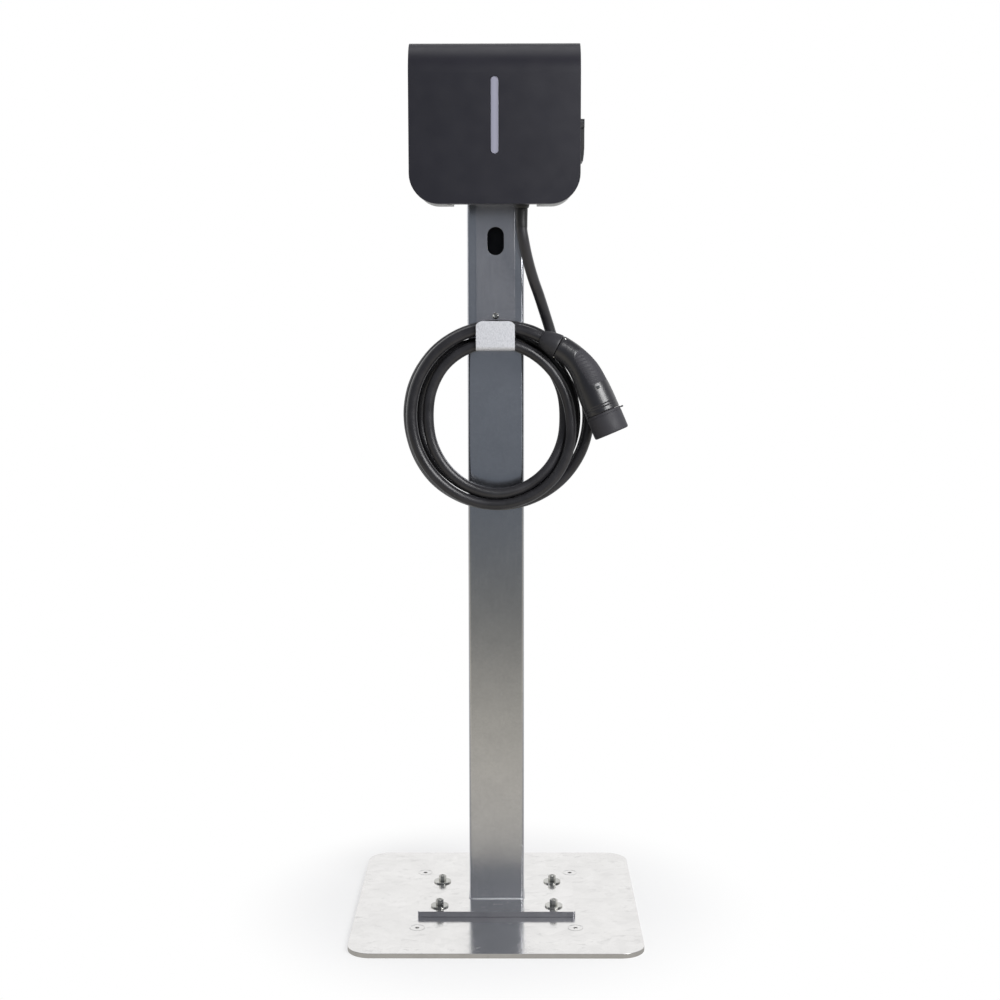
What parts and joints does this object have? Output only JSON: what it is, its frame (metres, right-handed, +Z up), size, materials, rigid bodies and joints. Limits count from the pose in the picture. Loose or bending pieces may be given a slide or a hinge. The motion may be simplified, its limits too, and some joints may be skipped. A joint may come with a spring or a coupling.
{
  "type": "ev charging post",
  "caption": "Free-standing steel post on a bolted base plate with a dark rounded wall box, a hook, and a fixed charging lead coiled on the hook with a capped connector.",
  "frame": {"origin": "bottom centre of the base plate", "axes": "+Z up along the post, front of the box faces -Y, +X to the right seen from the front"},
  "size_m": [0.42, 0.42, 1.262],
  "materials": {
    "bright_plate": "bright galvanised, lightly scuffed",
    "post_steel": "satin, fine brushing along the post",
    "rail_steel": "satin",
    "zinc": "zinc plated",
    "cover_plastic": "fine matt grain",
    "housing_plastic": "matt",
    "black_plastic": "satin moulded",
    "handle_gloss": "smooth gloss",
    "light_diffuser": "translucent, unlit",
    "cable_rubber": "satin jacket",
    "soft_rubber": "matt",
    "circuit_board": "solder mask",
    "contact_brass": "machined"
  },
  "bodies": {
    "stand": {"base_plate": "bright_plate", "plate_screw_1": "zinc", "plate_screw_2": "zinc", "plate_screw_3": "zinc", "plate_screw_4": "zinc", "foot_flange": "bright_plate", "foot_stud_1": "zinc", "foot_stud_2": "zinc", "foot_stud_3": "zinc", "foot_stud_4": "zinc", "foot_washer_1": "zinc", "foot_washer_2": "zinc", "foot_washer_3": "zinc", "foot_washer_4": "zinc", "foot_nut_1": "zinc", "foot_nut_2": "zinc", "foot_nut_3": "zinc", "foot_nut_4": "zinc", "post_tube": "post_steel", "post_top_cap": "black_plastic", "hook_bracket": "rail_steel", "hook_screw": "zinc", "rear_housing": "housing_plastic", "front_cover": "cover_plastic", "cover_seal": "soft_rubber", "light_guide": "light_diffuser", "light_board": "circuit_board", "main_board": "circuit_board", "contactor": "black_plastic", "terminal_block": "housing_plastic", "leakage_sensor": "black_plastic", "breaker": "housing_plastic", "flap_frame": "black_plastic", "flap_pin": "zinc", "gland_nut": "black_plastic", "gland_sleeve": "black_plastic", "gland_locknut": "black_plastic", "entry_plug": "black_plastic", "housing_screw_1": "zinc", "housing_screw_2": "zinc", "cover_screw_1": "zinc", "cover_screw_2": "zinc", "cable_drop": "cable_rubber", "cable_coil": "cable_rubber", "cable_tail": "cable_rubber", "connector_collar": "black_plastic", "handle_front": "handle_gloss", "handle_back": "handle_gloss", "connector_nose": "black_plastic", "contact_earth": "contact_brass", "contact_neutral": "contact_brass", "contact_line_1": "contact_brass", "contact_line_2": "contact_brass", "contact_line_3": "contact_brass", "contact_pilot": "contact_brass", "contact_proximity": "contact_brass", "handle_screw": "zinc"},
    "side_flap": {"side_flap": "black_plastic"},
    "breaker_lever": {"breaker_lever": "black_plastic"},
    "dust_cap": {"dust_cap": "soft_rubber"}
  },
  "joints": [
    {"name": "flap_hinge", "type": "hinge", "parent": "stand", "child": "side_flap", "pos_m": [0.1213, -0.076, 1.156], "axis": [0, -1, 0], "range_deg": [0, 110]},
    {"name": "breaker_switch", "type": "hinge", "parent": "stand", "child": "breaker_lever", "pos_m": [0.0985, -0.076, 1.135], "axis": [0, 1, 0], "range_deg": [0, 60]},
    {"name": "cap_pull", "type": "slide", "parent": "stand", "child": "dust_cap", "axis": [0.3918, -0.0807, -0.9165], "range_m": [0, 0.03]}
  ]
}
